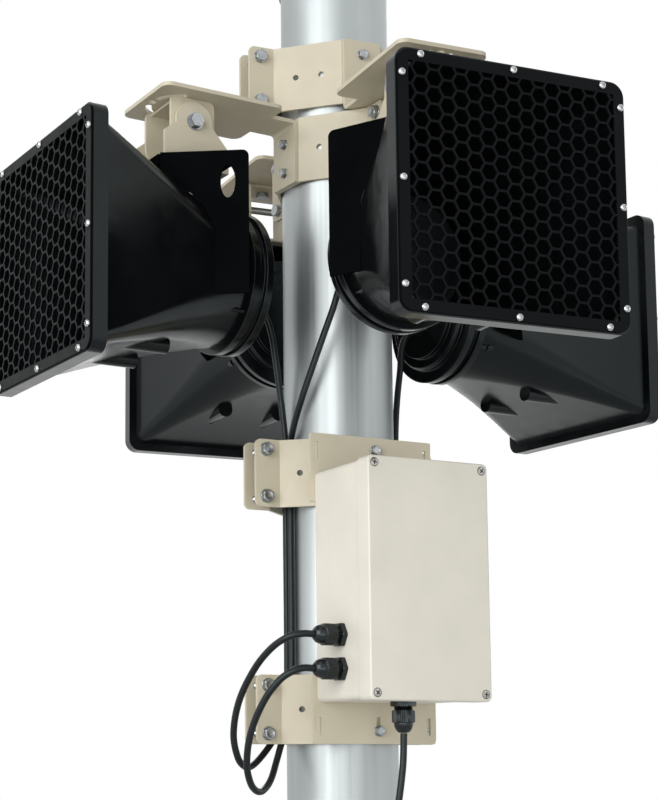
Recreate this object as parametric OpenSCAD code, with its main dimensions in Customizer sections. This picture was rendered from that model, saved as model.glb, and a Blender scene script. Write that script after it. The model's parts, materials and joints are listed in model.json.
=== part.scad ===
/* [Pole] */
// Outside diameter of the pole
pole_d = 168.3; // [150:0.1:190]
// Wall of the pole
pole_wall = 7.1; // [4:0.1:12]
// Length of the pole above the upper horn clamp
pole_above = 154; // [120:1:600]
// Height of the cap's skirt
cap_h = 40; // [25:1:80]
// Wall of the cap
cap_wall = 3; // [2:0.5:6]
// Rise of the cap's crown
cap_rise = 14; // [6:1:30]
// Thickness of the plate that closes the pole's foot
foot_t = 10; // [6:1:20]

/* [Clamps] */
// Height of every pole clamp
clamp_h = 102; // [80:1:110]
// Thickness of the clamp plate
clamp_t = 5; // [4:0.5:8]
// Bend between a clamp's centre face and its slanted faces
clamp_bend = 40; // [36:1:44]
// Gap between the ears of two clamp halves
ear_gap = 30; // [20:1:36]
// Half of a clamp's width over its ears
ear_reach = 156; // [146:1:170]
// Radius of an ear's corner
ear_corner = 9; // [4:1:14]
// Clearance between clamp and pole
clamp_fit = 0.2; // [0.1:0.1:0.5]
// Distance of an ear bolt from the ear's tip
ear_bolt_in = 18; // [14:1:22]
// Height between the two bolts in an ear
ear_bolt_pitch = 71; // [50:1:76]
// Diameter of an ear bolt's hole
ear_bolt_hole = 11; // [9:0.5:13]
// Diameter of the spare holes in the slanted faces
spare_hole = 9; // [6:0.5:12]
// Distance of a horn clamp's outer spare hole from its inner one
spare_pitch = 40; // [30:1:50]
// Distance of a box clamp's spare hole from the middle of the pole's touch
spare_out = 45; // [36:1:54]
// Height of the lower horn clamp's lower edge
lower_clamp_z = 1129; // [1090:1:1300]
// Gap between the two horn clamps
clamp_space = 13; // [11:1:30]
// Turn of the lower clamp pair out of square
lower_turn = 7.3; // [0:0.1:10]

/* [Arms and yokes] */
// Distance of the pan axis from the pole's axis
reach = 281; // [276:1:290]
// Thickness of the arm plate
arm_t = 6; // [5:0.5:8]
// Width of the arm plate
arm_w = 142; // [130:1:150]
// Length of the arm beyond the pan axis
arm_beyond = 61; // [58:1:80]
// Distance of the arm's shoulders from the pole's axis
arm_shoulder = 138; // [130:1:150]
// Radius of the arm's corners
arm_corner = 14; // [6:1:20]
// Width of the arm's leg
leg_w = 62; // [56:1:64]
// Inner radius of the arm's bend
arm_bend_r = 6; // [4:1:10]
// Height between the two bolts in a leg
leg_bolt_pitch = 46; // [40:1:50]
// Distance of the first leg bolt from the leg's tip
leg_bolt_in = 22; // [18:1:26]
// Diameter of a leg bolt's hole
leg_bolt_hole = 9; // [8:0.5:11]
// Radius of the curved pan slots and the hole between them
pan_slot_r = 46; // [44:1:48]
// Width of the curved pan slots
pan_slot_w = 9; // [8:0.5:11]
// Diameter of the round ends of the pan slots
pan_slot_end_d = 10; // [9.5:0.5:13]
// Turn from the arm's middle to the near end of a pan slot
pan_slot_from = 20; // [18:1:24]
// Turn from the arm's middle to the far end of a pan slot
pan_slot_to = 70; // [50:1:75]
// Diameter of the hole between the pan slots
pan_hole = 13; // [9:0.5:14]
// Height of the arm's underside above the tilt axis
yoke_rise = 38; // [37:1:44]
// Outside width of the yoke
yoke_w = 84; // [76:1:90]
// Thickness of the yoke and the tilt bracket
yoke_t = 5; // [4:0.5:6]
// Half of the width of a yoke's ear
yoke_half = 37; // [33:1:37]
// Depth of the middle of an ear's round end below the tilt axis
yoke_ear_drop = 18; // [10:1:20]
// Radius of an ear's upper corners
yoke_corner = 9; // [6:1:12]
// Radius of the tilt bracket's ears at the tilt bolt
tilt_ear_r = 31; // [26:1:32]
// Distance of the bracket's front edge ahead of the tilt axis
bracket_ahead = 50; // [46:1:54]
// Distance of the bracket's rear edge behind the tilt axis
bracket_behind = 58; // [54:1:60]
// Depth of the bracket's shoulders below the tilt axis at their inner ends
shoulder_top = 5; // [2:1:8]
// Depth of the front shoulder's outer end below the tilt axis
front_shoulder = 20; // [14:1:26]
// Depth of the rear shoulder's outer end below the tilt axis
rear_shoulder = 36; // [28:1:42]
// Gap between yoke and arm
pan_gap = 0.5; // [0.3:0.1:0.9]
// Gap between yoke ears and bracket ears
tilt_gap = 0.8; // [0.5:0.1:0.9]
// Diameter of the tilt and pan bolts
bolt_d = 12; // [10:1:14]
// Width over the flats of the bolt heads
bolt_flats = 19; // [16:1:22]
// Height of the bolt heads
bolt_head_h = 8; // [6:1:10]
// Diameter of the washers
washer_d = 26; // [24:1:30]
// Thickness of the washers
washer_t = 2.5; // [2:0.5:3]
// Clearance round a bolt
bolt_fit = 0.3; // [0.2:0.1:0.6]
// Clearance under a washer
washer_fit = 0.2; // [0.1:0.1:0.4]
// Depth of the tilt axis below the upper horn clamp's lower edge
upper_tilt_drop = 50; // [46:1:51]
// Height of the tilt axis above the lower horn clamp's lower edge
lower_tilt_rise = 54; // [46:1:56]

/* [Horns] */
// Height of the tilt axis above the horn's axis
horn_drop = 224; // [220:1:240]
// Distance of the mouth's front ahead of the pan axis
mouth_ahead = 227; // [215:1:245]
// Width of the square mouth flange
mouth_w = 344; // [330:1:360]
// Depth of the mouth flange
flange_depth = 22; // [16:1:28]
// Width of the bell just behind the flange
bell_w = 316; // [300:1:326]
// Corner radius of the mouth flange
mouth_corner = 20; // [14:1:26]
// Corner radius of the bell at the mouth
bell_corner = 16; // [10:1:22]
// Diameter of the throat
throat_d = 196; // [180:1:206]
// Distance of the throat behind the pan axis
throat_behind = 66; // [60:1:69]
// Wall of the bell
bell_wall = 4; // [3:0.5:6]
// Bow of the bell's flare
flare_power = 1.5; // [1.2:0.05:2]
// Thickness of the grille plate
grille_t = 3; // [2:0.5:4]
// Inset of the grille from the flange's edge
grille_inset = 3; // [2:0.5:5]
// Height of a hexagonal hole's row
hex_row = 22.5; // [20:0.5:26]
// Width of the bars between the holes
hex_bar = 3.2; // [2.5:0.1:5]
// Width of the plain rim round the holes
grille_rim = 15; // [14:1:20]
// Distance of a wing's rear edge behind the pan axis
wing_behind = 41; // [34:1:45]
// Half of the width over the wings' rear edges
wing_half = 133; // [125:1:138]
// Length of a wing along its top
wing_len = 128; // [110:1:140]
// Angle between a wing and the horn's axis
wing_angle = 34; // [30:1:38]
// Height of a wing's top above the horn's axis
wing_top = 161; // [156:1:164]
// Depth of a wing's rear edge below the horn's axis
wing_foot = 50; // [30:1:60]
// Thickness of the wings
wing_t = 5; // [4:0.5:7]
// Height of the saddle's top plate above the horn's axis
saddle_z = 150; // [146:1:152]
// Thickness of the saddle's top plate
saddle_t = 6; // [5:0.5:8]
// Radius of a wing's upper rear corner
wing_corner = 9; // [5:1:14]
// Width of the oval hole in the left-hand wing
wing_hole_w = 21; // [16:1:26]
// Height of the oval hole in the left-hand wing
wing_hole_h = 49; // [40:1:54]
// Distance of that hole's middle from the wing's rear edge
wing_hole_in = 30; // [26:1:36]
// Depth of that hole's middle below the wing's top
wing_hole_down = 46; // [40:1:52]
// Clearance between saddle and bell
saddle_fit = 0.3; // [0.2:0.1:0.5]
// Distance of the driver's rear face behind the pan axis
driver_behind = 118; // [114:1:119]
// Diameter of the driver's rings
driver_d = 214; // [206:1:220]
// Diameter of the driver between its rings
driver_waist = 201; // [190:1:204]
// Diameter of the driver's rear cap
driver_cap = 140; // [138:1:144]
// Depth of the driver's rear cap
driver_cap_h = 8; // [6:1:10]
// Diameter of the cover round the cap
driver_cover = 176; // [160:1:182]
// Depth of the cover round the cap
driver_cover_h = 10; // [8:1:12]
// Width of the driver's rings
driver_ring = 12; // [8:1:14]
// Chamfer of the cover's edge
driver_chamfer = 4; // [2:1:6]

/* [Junction box] */
// Turn of the box out of line with the front horn
box_turn = 4; // [0:0.5:8]
// Width of the box
box_w = 200; // [190:1:206]
// Height of the box
box_h = 340; // [334:1:350]
// Depth of the box with its lid
box_d = 150; // [140:1:160]
// Depth of the lid
lid_d = 32; // [24:1:40]
// Step between lid and body
lid_lip = 2; // [1:0.5:3]
// Wall of the box
box_wall = 4; // [3:0.5:6]
// Radius of the box's corners
box_corner = 8; // [5:1:10]
// Height of the box's lower edge
box_z = 330; // [326:1:336]
// Width of the plates behind the box
plate_w = 209; // [204:1:220]
// Thickness of the plates behind the box
plate_t = 5; // [4:0.5:6]
// Width of the slots in those plates
plate_slot_w = 6; // [5:0.5:8]
// Height of the slots in those plates
plate_slot_h = 26; // [20:1:32]
// Distance of a slot's middle from the plate's edge
plate_slot_in = 11; // [8:1:14]
// Width of the slot under a plate's bolt
key_w = 7; // [6:0.5:9]
// Height of the slot under a plate's bolt
key_h = 24; // [18:1:28]
// Height of a plate's bolt from the plate's middle
plate_bolt_up = 32; // [26:1:38]
// Distance of a plate's bolt from the plate's middle, sideways
plate_bolt_side = 6; // [0:1:10]
// Height of the upper box clamp's lower edge
upper_box_clamp_z = 625; // [620:1:632]
// Height of the lower box clamp's lower edge
lower_box_clamp_z = 272; // [268:1:276]
// Width over the flats of a cable gland
gland_flats = 32; // [28:1:36]
// Length of a cable gland outside the box
gland_len = 45; // [40:1:50]
// Thickness of a gland's hexagonal base
gland_base = 9; // [7:1:12]
// Length of a gland's neck
gland_neck = 4; // [2:1:6]
// Length of a gland's cap nut
gland_nut = 18; // [14:1:22]
// Diameter of a gland's neck
gland_neck_d = 27; // [24:1:27]
// Diameter of a gland's cap nut
gland_nut_d = 31; // [28:1:35]
// Diameter of a gland's tip
gland_tip_d = 18; // [14:1:20]
// Height of the upper side gland above the box's lower edge
gland_upper = 94; // [90:1:110]
// Height of the lower side gland above the box's lower edge
gland_lower = 46; // [40:1:50]
// Distance of the side glands from the lid's front
gland_back = 80; // [70:1:90]

/* [Cables] */
// Diameter of the cables
cable_d = 10; // [8:0.5:11]
// Clearance round a cable
cable_fit = 0.3; // [0.2:0.1:0.5]
// Clearance between a cable's end and the driver
cable_gap = 0.2; // [0.1:0.1:0.5]
// Depth of the front horn's lead below the horn's axis
front_lead_drop = 20; // [10:1:40]
// Depth of the back horn's lead below the horn's axis
back_lead_drop = 30; // [10:1:40]
// Depth of the side horns' leads below their axis
side_lead_drop = 29; // [10:1:40]
// Diameter of the grommets in the pole
grommet_d = 26; // [22:1:30]
// Diameter of the pole's hole behind a grommet
grommet_hole = 17; // [14:0.5:20]
// Height of a grommet on the pole
grommet_t = 4; // [3:0.5:6]

/* [Hidden] */
$fn = 48;

tan_paint = "#cfc3a6";
black_plastic = "#17181a";
bare_metal = "#b9bcbe";
zinc = "#a9adb0";
rubber = "#101010";

front_az = -90;
back_az = 90;
left_az = 180 + lower_turn;
right_az = lower_turn;
box_az = -90 + box_turn;
box_back_az = 90 + box_turn;

pole_r = pole_d / 2;
seat = pole_r + clamp_fit;
clamp_face = seat + clamp_t;
ear_in = ear_gap / 2;
overlap = 1;
horn_spares = [0, spare_pitch];
box_spares = [spare_out];

upper_clamp_z = lower_clamp_z + clamp_h + clamp_space;
pole_len = upper_clamp_z + clamp_h + pole_above;
upper_tilt_z = upper_clamp_z - upper_tilt_drop;
lower_tilt_z = lower_clamp_z + lower_tilt_rise;
upper_horn_z = upper_tilt_z - horn_drop;
lower_horn_z = lower_tilt_z - horn_drop;
upper_arm_under = upper_tilt_z + yoke_rise;
lower_arm_under = lower_tilt_z + yoke_rise;
leg_face = clamp_face + arm_t;
arm_end = reach + arm_beyond;

bolt_r = bolt_d / 2;
washer_r = washer_d / 2;
bracket_in = yoke_w / 2 + tilt_gap;
bracket_out = bracket_in + yoke_t;
washer_in = bracket_out + washer_fit;
bracket_base_z = saddle_z + saddle_t / 2;

mouth_front = reach + mouth_ahead;
throat_front = reach - throat_behind;
wing_rear = reach - wing_behind;
driver_rear = reach - driver_behind;
bell_rings = 10;
corner_steps = 9;
flange_back = mouth_front - grille_t - flange_depth;
flange_front = mouth_front - grille_t;
wing_front = wing_rear + wing_len * cos(wing_angle);
wing_front_half = wing_half - wing_len * sin(wing_angle);
wing_h = wing_top + wing_foot;

box_back = clamp_face + plate_t;
box_front = box_back + box_d;
lid_back = box_front - lid_d;
gland_r = box_front - gland_back;
bottom_gland_r = box_back + box_d / 2;

// Upper leads from a driver down to the box clamp: share of the way out, sideways place, share of the way up
cable_start = driver_rear - cable_gap;
lead_foot = upper_box_clamp_z + clamp_h;
front_lead = [
    [1, -60, 1], [0.903, -60, 1], [0.79, -62, 0.96], [0.684, -66, 0.83], [0.571, -72, 0.686],
    [0.43, -81, 0.484], [0.283, -89, 0.283], [0.1, -91, 0.103]
];
left_lead = [
    [1, 0, 1], [0.8, 0, 1], [0.574, -1.4, 0.956], [0.407, -3, 0.833], [0.299, -5, 0.665],
    [0.189, -8, 0.458], [0.081, -10.2, 0.236]
];
right_lead = [
    [1, 0, 1], [0.804, 0, 1], [0.58, -1.4, 0.956], [0.413, -4, 0.833], [0.298, -11, 0.665],
    [0.119, -20.5, 0.433], [0.004, -26.6, 0.212]
];
back_lead = [
    [1, 0, 1], [0.896, 0, 1], [0.791, -6, 0.958], [0.693, -14, 0.836], [0.623, -30, 0.671],
    [0.497, -52, 0.46], [0.329, -72, 0.272], [0.161, -84, 0.131]
];
function lead(az, table, from, top) = [
    for (p = table)
    let (r = from + p[0] * (cable_start - from))
    [r * cos(az) - p[1] * sin(az), r * sin(az) + p[1] * cos(az), lead_foot + p[2] * (top - lead_foot)]
];
front_lead_in = 16;
left_lead_in = 90;
right_lead_in = 89;
back_lead_in = 15;

// Routes of the cables, through the points where they are held and hang
front_route = concat(lead(front_az, front_lead, front_lead_in, upper_horn_z - front_lead_drop), [
    [-90, -16, 722], [-90, -15, 600], [-90, -15, 380],
    [-92, -15, 330], [-98, -16, 300], [-109, -17, 274], [-121, -25, 248], [-139, -43, 220],
    [-160, -62, 205], [-177, -77, 205], [-193, -92, 217], [-204, -105, 244], [-205, -122, 287],
    [-194, -145, 332], [-178, -163, 360], [-164, -172, 371], [-149.5, -175.2, 376], [-131.5, -173.95, 376]
]);
left_route = concat(lead(left_az, left_lead, left_lead_in, lower_horn_z - side_lead_drop), [
    [-91, 0, 728], [-91, 0, 600], [-91, 0, 380],
    [-94, -1, 330], [-102, -2, 300], [-118, -4, 276], [-138, -11, 255], [-160, -26, 241],
    [-179, -42, 239], [-196, -55, 252], [-207, -65, 286], [-206, -83, 332],
    [-195, -112, 376], [-183, -143, 404], [-168, -166, 419], [-149.5, -175.2, 424], [-131.5, -173.95, 424]
]);
right_route = concat(lead(right_az, right_lead, right_lead_in, lower_horn_z - side_lead_drop), [
    [90, -16, 728], [90, -15, 620], [91, -12, 580],
    [97, 0, 530], [106, 12, 485], [115, 24, 448], [118, 30, 425], [112, 30, 408],
    [100, 26.8, 401], [89.8, 24.06, 400], [77.3, 20.71, 400]
]);
back_route = concat(lead(back_az, back_lead, back_lead_in, upper_horn_z - back_lead_drop), [
    [90, 15, 725], [90, 15, 600],
    [92, 28, 560], [92, 48, 525], [86, 70, 496], [78, 88, 474], [69.5, 98.5, 456],
    [62, 88.5, 443], [53.34, 76.18, 440], [45.89, 65.53, 440]
]);
feed_route = [
    [12, -169, 286.5], [10, -169, 245], [5, -168, 205], [1, -165, 175], [0, -156, 145],
    [0, -138, 117], [0, -114, 98], [0, -94, 95], [0, -80, 95]
];

// Direction and height of each grommet in the pole
grommet_places = [[front_az, 95], [15, 400], [55, 440]];

// Square with round corners, h is half its width and r its corner radius, as a ring of points at x
function square_ring(x, h, r) = [
    for (corner = [0:3], step = [0:corner_steps])
    let (
        turn = 90 * corner,
        a = turn + 90 * step / corner_steps,
        cy = (h - r) * (cos(turn) - sin(turn)),
        cz = (h - r) * (sin(turn) + cos(turn))
    )
    [x, cy + r * cos(a), cz + r * sin(a)]
];

// Half width and corner radius of the bell's outside at a share u of its length
function bell_half(u) = throat_d / 2 + (bell_w - throat_d) / 2 * pow(u, flare_power);
function bell_round(u) = (throat_d / 2) * pow(1 - u, 1.3) + bell_corner * u;
function bell_x(u) = throat_front + (flange_back - throat_front) * u;

function bell_ring(u, inset) =
    let (h = bell_half(u) - inset, r = min(h, max(bell_round(u) - inset, 2)))
    square_ring(bell_x(u), h, r);

// Rings joined one to the next in a closed band
function band_faces(rings, size) = [
    for (i = [0:rings - 1], j = [0:size - 1])
    let (k = (i + 1) % rings, m = (j + 1) % size)
    [i * size + j, k * size + j, k * size + m, i * size + m]
];

// Rings joined one to the next, with flat ends
function tube_faces(rings, size) = concat(
    [[for (j = [0:size - 1]) j]],
    [
        for (i = [0:rings - 2], j = [0:size - 1])
        let (m = (j + 1) % size)
        [i * size + j, (i + 1) * size + j, (i + 1) * size + m, i * size + m]
    ],
    [[for (j = [size - 1:-1:0]) (rings - 1) * size + j]]
);

function unit(v) = v / norm(v);
function along(route, i) =
    unit(route[min(i + 1, len(route) - 1)] - route[max(i - 1, 0)]);
function side_of(t) = unit(cross(t, abs(t[2]) > 0.9 ? [0, 1, 0] : [0, 0, 1]));

// A side vector carried along the route without twisting
function carried(route, i) =
    i == 0
        ? side_of(along(route, 0))
        : let (s = carried(route, i - 1), t = along(route, i)) unit(s - t * (s * t));

module cable(route) {
    sides = 8;
    rings = [
        for (i = [0:len(route) - 1])
        let (t = along(route, i), s = carried(route, i), b = cross(t, s))
        for (k = [0:sides - 1])
        let (a = 360 * k / sides)
        route[i] + (s * cos(a) + b * sin(a)) * cable_d / 2
    ];
    color(rubber)
        polyhedron(rings, tube_faces(len(route), sides), convexity = 6);
}

module rounded_square(w, h, r) {
    square([w - 2 * r, h], center = true);
    square([w, h - 2 * r], center = true);
    for (x = [-1, 1], y = [-1, 1])
        translate([x * (w / 2 - r), y * (h / 2 - r)])
            circle(r);
}

// Puts a shape drawn in the YZ plane on the X axis, from x to x + depth
module along_x(x, depth) {
    translate([x, 0, 0])
        rotate([90, 0, 90])
            linear_extrude(depth)
                children();
}

// A round hole along X
module hole_x(y, z, d) {
    translate([0, y, z])
        rotate([0, 90, 0])
            cylinder(d = d, h = mouth_front);
}

// One bent edge of a clamp half, at distance d from the pole's axis
function clamp_edge(d, ear_x) =
    let (y = (d - ear_x * cos(clamp_bend)) / sin(clamp_bend), c = d * tan(clamp_bend / 2))
    [[ear_x, ear_reach], [ear_x, y], [d, c], [d, -c], [ear_x, -y], [ear_x, -ear_reach]];
function reversed(list) = [for (i = [len(list) - 1:-1:0]) list[i]];

module clamp_half(z, spares) {
    color(tan_paint)
        difference() {
            intersection() {
                translate([0, 0, z])
                    linear_extrude(clamp_h)
                        polygon(concat(
                            clamp_edge(clamp_face, ear_in + clamp_t),
                            reversed(clamp_edge(seat, ear_in))
                        ));
                translate([0, 0, z + clamp_h / 2])
                    along_x(0, clamp_face + overlap)
                        rounded_square(2 * ear_reach, clamp_h, ear_corner);
            }
            for (y = [-1, 1], k = [-1, 1])
                hole_x(y * (ear_reach - ear_bolt_in), z + clamp_h / 2 + k * ear_bolt_pitch / 2, ear_bolt_hole);
            for (side = [-1, 1], spare = spares)
                rotate([0, 0, side * clamp_bend])
                    translate([seat - overlap, side * spare, z + clamp_h / 2])
                        rotate([0, 90, 0])
                            cylinder(d = spare_hole, h = clamp_t + 2 * overlap);
        }
}

module arm_outline() {
    difference() {
        union() {
            translate([(arm_shoulder + arm_end) / 2, 0])
                rounded_square(arm_end - arm_shoulder, arm_w, arm_corner);
            translate([leg_face + arm_bend_r, -leg_w / 2])
                square([arm_shoulder + arm_corner - leg_face, leg_w]);
        }
        translate([reach, 0])
            circle(d = bolt_d + 2 * bolt_fit);
        for (side = [-1, 1])
            translate([reach, 0])
                pan_slot(side);
        translate([reach + pan_slot_r, 0])
            circle(d = pan_hole);
    }
}

module pan_slot(side) {
    far = 2 * pan_slot_r;
    middle = (pan_slot_from + pan_slot_to) / 2;
    intersection() {
        difference() {
            circle(pan_slot_r + pan_slot_w / 2);
            circle(pan_slot_r - pan_slot_w / 2);
        }
        polygon(concat(
            [[0, 0]],
            [for (a = [pan_slot_from, middle, pan_slot_to]) [far * cos(a), side * far * sin(a)]]
        ));
    }
    for (a = [pan_slot_from, pan_slot_to])
        rotate(side * a)
            translate([pan_slot_r, 0])
                circle(d = pan_slot_end_d);
}

// The arm's plate at z = 0 to arm_t, with its leg going up to leg_top
module arm_up(leg_top) {
    bend = arm_bend_r + arm_t;
    difference() {
        union() {
            linear_extrude(arm_t)
                arm_outline();
            translate([clamp_face, -leg_w / 2, bend])
                cube([arm_t, leg_w, leg_top - bend]);
            translate([clamp_face + bend, leg_w / 2, bend])
                rotate([90, 0, 0])
                    linear_extrude(leg_w)
                        intersection() {
                            difference() {
                                circle(bend);
                                circle(arm_bend_r);
                            }
                            translate([-bend, -bend])
                                square(bend);
                        }
        }
        for (k = [0, 1])
            hole_x(0, leg_top - leg_bolt_in - k * leg_bolt_pitch, leg_bolt_hole);
    }
}

module upper_arm() {
    color(tan_paint)
        translate([0, 0, upper_arm_under])
            arm_up(upper_clamp_z + clamp_h - upper_arm_under);
}

module lower_arm() {
    color(tan_paint)
        translate([0, 0, lower_arm_under + arm_t])
            mirror([0, 0, 1])
                arm_up(lower_arm_under + arm_t - lower_clamp_z);
}

// The inverted U under an arm, z = 0 on the tilt axis
module yoke(tilt_z) {
    top = yoke_rise - pan_gap;
    flat = yoke_half - yoke_corner;
    color(tan_paint)
        translate([reach, 0, tilt_z])
            difference() {
                union() {
                    translate([-flat, -yoke_w / 2, top - yoke_t])
                        cube([2 * flat, yoke_w, yoke_t]);
                    for (y = [-yoke_w / 2, yoke_w / 2 - yoke_t])
                        translate([0, y + yoke_t, 0])
                            rotate([90, 0, 0])
                                linear_extrude(yoke_t)
                                    yoke_ear(top);
                }
                tilt_hole();
                cylinder(d = bolt_d + 2 * bolt_fit, h = yoke_rise);
            }
}

// An ear with two round corners at its top and a half-round lower end
module yoke_ear(top) {
    flat = yoke_half - yoke_corner;
    translate([0, -yoke_ear_drop])
        circle(yoke_half);
    translate([-yoke_half, -yoke_ear_drop])
        square([2 * yoke_half, top + yoke_ear_drop - yoke_corner]);
    translate([-flat, 0])
        square([2 * flat, top]);
    for (x = [-flat, flat])
        translate([x, top - yoke_corner])
            circle(yoke_corner);
}

module tilt_hole() {
    rotate([90, 0, 0])
        cylinder(d = bolt_d + 2 * bolt_fit, h = 2 * bracket_out + overlap, center = true);
}

module hex_head(h) {
    cylinder(d = bolt_flats / cos(30), h = h, $fn = 6);
}

// The tilt bolt across the ears and the pan bolt through the arm
module yoke_bolts(tilt_z) {
    pan_under = yoke_rise - pan_gap - yoke_t;
    pan_top = yoke_rise + arm_t + washer_fit;
    color(zinc)
        translate([reach, 0, tilt_z]) {
            rotate([90, 0, 0]) {
                cylinder(r = bolt_r, h = 2 * washer_in, center = true);
                for (side = [0, 180])
                    rotate([side, 0, 0])
                        translate([0, 0, washer_in]) {
                            cylinder(r = washer_r, h = washer_t);
                            translate([0, 0, washer_t])
                                hex_head(bolt_head_h);
                        }
            }
            translate([0, 0, pan_under - bolt_head_h])
                hex_head(bolt_head_h);
            translate([0, 0, pan_under])
                cylinder(r = bolt_r, h = pan_top - pan_under);
            translate([0, 0, pan_top]) {
                cylinder(r = washer_r, h = washer_t);
                translate([0, 0, washer_t])
                    hex_head(bolt_head_h);
            }
        }
}

// The U on the horn's saddle whose ears take the tilt bolt
module tilt_bracket(tilt_z) {
    base = bracket_base_z - horn_drop;
    color(tan_paint)
        translate([reach, 0, tilt_z])
            difference() {
                union() {
                    translate([-bracket_behind, -bracket_out, base])
                        cube([bracket_behind + bracket_ahead, 2 * bracket_out, yoke_t]);
                    for (y = [-bracket_out, bracket_in])
                        translate([0, y + yoke_t, 0])
                            rotate([90, 0, 0])
                                linear_extrude(yoke_t) {
                                    circle(tilt_ear_r);
                                    polygon([
                                        [-bracket_behind, base], [bracket_ahead, base],
                                        [bracket_ahead, -front_shoulder], [tilt_ear_r, -shoulder_top],
                                        [tilt_ear_r, 0], [-tilt_ear_r, 0],
                                        [-tilt_ear_r, -shoulder_top], [-bracket_behind, -rear_shoulder]
                                    ]);
                                }
                }
                tilt_hole();
            }
}

module bell() {
    u = [for (i = [0:bell_rings - 1]) i / (bell_rings - 1)];
    mouth_half = mouth_w / 2;
    lip_half = bell_w / 2 - bell_wall;
    rings = concat(
        [for (s = u) bell_ring(s, 0)],
        [
            square_ring(flange_back, mouth_half, mouth_corner),
            square_ring(flange_front, mouth_half, mouth_corner),
            square_ring(flange_front, lip_half, bell_corner)
        ],
        [for (s = reversed(u)) bell_ring(s, bell_wall)]
    );
    size = 4 * (corner_steps + 1);
    points = [for (ring = rings) each ring];
    polyhedron(points, band_faces(len(rings), size), convexity = 8);
}

// The space that the bell takes up, with the saddle's clearance
module bell_room() {
    u = [for (i = [0:bell_rings - 1]) i / (bell_rings - 1)];
    rings = [for (s = u) bell_ring(s, -saddle_fit)];
    size = 4 * (corner_steps + 1);
    points = [for (ring = rings) each ring];
    polyhedron(points, tube_faces(len(rings), size), convexity = 4);
}

// A wing's outline, from its lower rear corner
module wing_outline(side) {
    steps = 32;
    difference() {
        union() {
            square([wing_len, wing_h - wing_corner]);
            translate([wing_corner, 0])
                square([wing_len - wing_corner, wing_h]);
            translate([wing_corner, wing_h - wing_corner])
                circle(wing_corner);
        }
        if (side > 0)
            translate([wing_hole_in, wing_h - wing_hole_down])
                polygon([
                    for (i = [0:steps - 1])
                    let (a = 360 * i / steps)
                    [wing_hole_w / 2 * cos(a), wing_hole_h / 2 * sin(a)]
                ]);
    }
}

// Angled wings, top plate and front wall that carry the tilt bracket
module saddle_plates() {
    for (side = [-1, 1])
        translate([wing_rear, side * wing_half, -wing_foot])
            rotate([0, 0, -side * wing_angle])
                translate([0, side > 0 ? 0 : wing_t, 0])
                    rotate([90, 0, 0])
                        linear_extrude(wing_t)
                            wing_outline(side);
    translate([0, 0, saddle_z - saddle_t / 2])
        linear_extrude(saddle_t)
            polygon([
                [wing_rear + wing_t, wing_half - wing_t], [wing_front, wing_front_half - wing_t],
                [wing_front, wing_t - wing_front_half], [wing_rear + wing_t, wing_t - wing_half]
            ]);
    translate([wing_front - wing_t, wing_t - wing_front_half, 0])
        cube([wing_t, 2 * (wing_front_half - wing_t), wing_top]);
}

module saddle(horn_z) {
    color(black_plastic)
        translate([0, 0, horn_z])
            difference() {
                saddle_plates();
                bell_room();
            }
}

module horn(horn_z) {
    color(black_plastic)
        translate([0, 0, horn_z])
            bell();
}

// Flat-topped hexagonal holes in columns
module grille(horn_z) {
    half = mouth_w / 2 - grille_inset;
    field = half - grille_rim;
    hole = (hex_row - hex_bar) / cos(30) / 2;
    column = hex_row * cos(30);
    columns = floor((field + hole) / column);
    rows = ceil(field / hex_row);
    color(black_plastic)
        translate([0, 0, horn_z])
            along_x(flange_front, grille_t)
                difference() {
                    rounded_square(2 * half, 2 * half, mouth_corner - grille_inset);
                    intersection() {
                        square(2 * field, center = true);
                        for (c = [-columns:columns], r = [-rows:rows])
                            let (odd = abs(c) % 2)
                            translate([c * column, (r + odd / 2) * hex_row])
                                circle(hole, $fn = 6);
                    }
                }
}

// Closed housing behind the throat, with raised rings
module driver(horn_z) {
    r = driver_d / 2;
    waist = driver_waist / 2;
    cap = driver_cap / 2;
    cover = driver_cover / 2;
    cap_front = driver_rear + driver_cap_h;
    step = cap_front + driver_cover_h;
    color(black_plastic)
        translate([0, 0, horn_z])
            rotate([0, 90, 0])
                rotate_extrude()
                    polygon([
                        [0, driver_rear], [cap, driver_rear], [cap, cap_front],
                        [cover - driver_chamfer, cap_front], [cover, cap_front + driver_chamfer], [cover, step],
                        [r, step], [r, step + driver_ring], [waist, step + driver_ring],
                        [waist, throat_front - driver_ring], [r, throat_front - driver_ring],
                        [r, throat_front], [0, throat_front]
                    ]);
}

module pole() {
    color(bare_metal)
        difference() {
            cylinder(r = pole_r, h = pole_len, $fn = 96);
            translate([0, 0, -overlap])
                cylinder(r = pole_r - pole_wall, h = pole_len + 2 * overlap, $fn = 96);
            grommet_holes();
        }
}

module grommet_holes() {
    for (place = grommet_places)
        translate([0, 0, place[1]])
            rotate([0, 0, place[0]])
                rotate([0, 90, 0])
                    cylinder(d = grommet_hole, h = pole_r + overlap);
}

module cable_grommets() {
    color(rubber)
        for (place = grommet_places)
            translate([0, 0, place[1]])
                rotate([0, 0, place[0]])
                    difference() {
                        rotate([0, 90, 0])
                            cylinder(d = grommet_d, h = pole_r + grommet_t);
                        cylinder(r = pole_r + cable_fit, h = grommet_d + overlap, center = true, $fn = 96);
                        rotate([0, 90, 0])
                            cylinder(d = cable_d + 2 * cable_fit, h = pole_r + grommet_t + overlap);
                    }
}

module pole_cap() {
    outer = pole_r + clamp_fit + cap_wall;
    color(bare_metal)
        translate([0, 0, pole_len])
            rotate_extrude($fn = 96)
                polygon([
                    [pole_r + clamp_fit, -cap_h], [outer, -cap_h], [outer, cap_wall],
                    [outer - cap_rise, cap_rise], [0, cap_rise], [0, 0], [pole_r + clamp_fit, 0]
                ]);
}

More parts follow.
